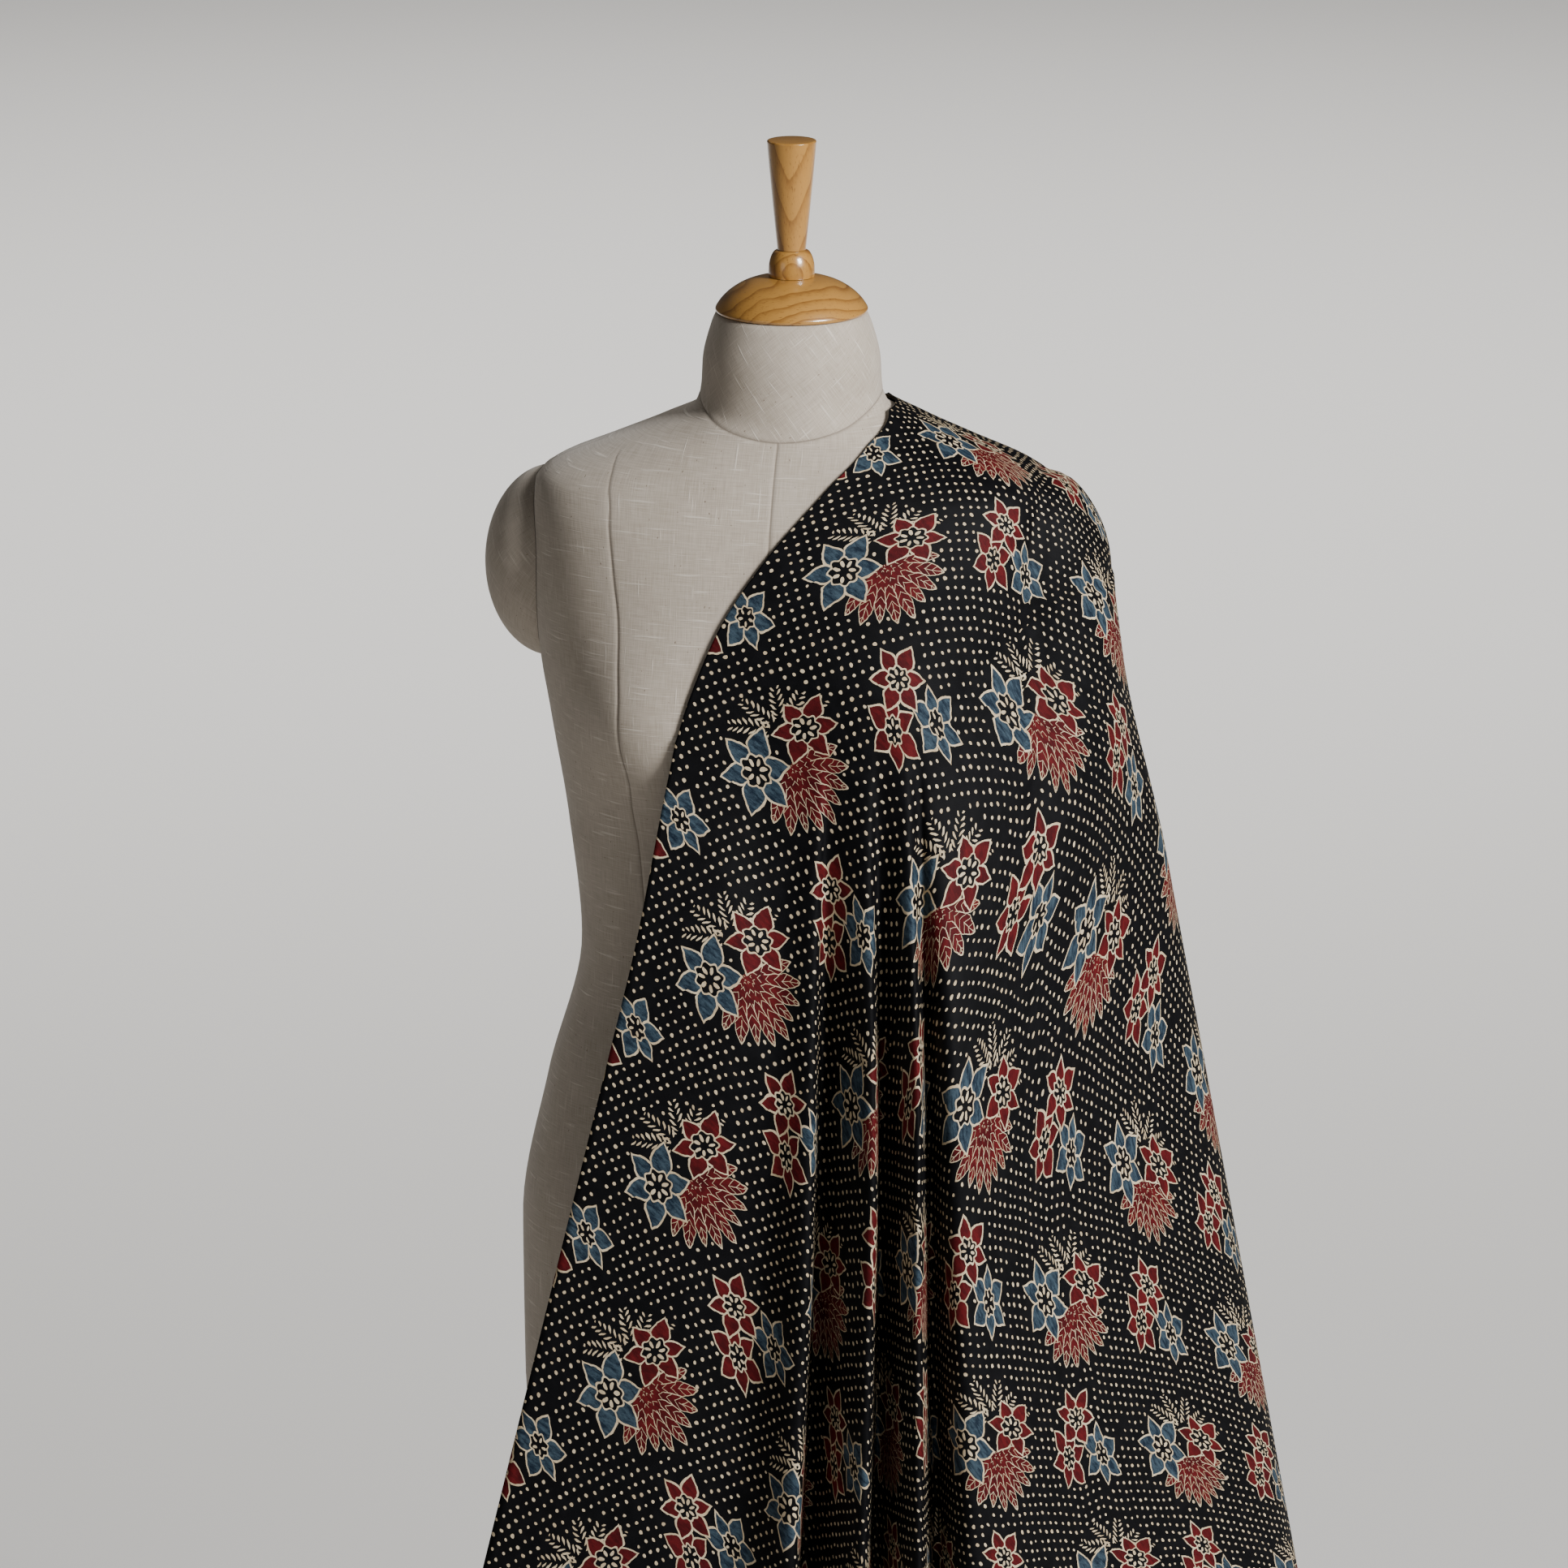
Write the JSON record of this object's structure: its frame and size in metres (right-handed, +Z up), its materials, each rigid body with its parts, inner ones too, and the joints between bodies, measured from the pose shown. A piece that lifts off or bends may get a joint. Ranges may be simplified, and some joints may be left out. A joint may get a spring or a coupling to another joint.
{
  "type": "ajrakh cloth draped on a dress form",
  "caption": "Block-printed ajrakh cloth hung over one shoulder of a linen-covered dress form with a turned wood cap, on a round-footed stand.",
  "frame": {"origin": "centre of the round foot, on the surface it stands on", "axes": "+Z up along the stand's pole; the form faces -Y, turned a little to -X; +X towards the draped shoulder"},
  "size_m": [0.6699, 0.5558, 1.5856],
  "materials": {
    "printed_cotton": "block-printed cotton, black ground with cream dots, madder red and indigo flowers",
    "linen": "natural slubbed linen",
    "varnished_wood": "honey varnish, gloss",
    "painted_steel": "satin black"
  },
  "bodies": {
    "root": {"ajrakh_cloth": "printed_cotton", "form_torso": "linen", "arm_cap_left": "linen", "arm_cap_right": "linen", "neck_cap": "varnished_wood", "neck_ball": "varnished_wood", "finial": "varnished_wood", "base_plate": "varnished_wood", "stand_pole": "painted_steel", "pole_collar": "varnished_wood", "stand_foot": "varnished_wood"}
  },
  "joints": []
}
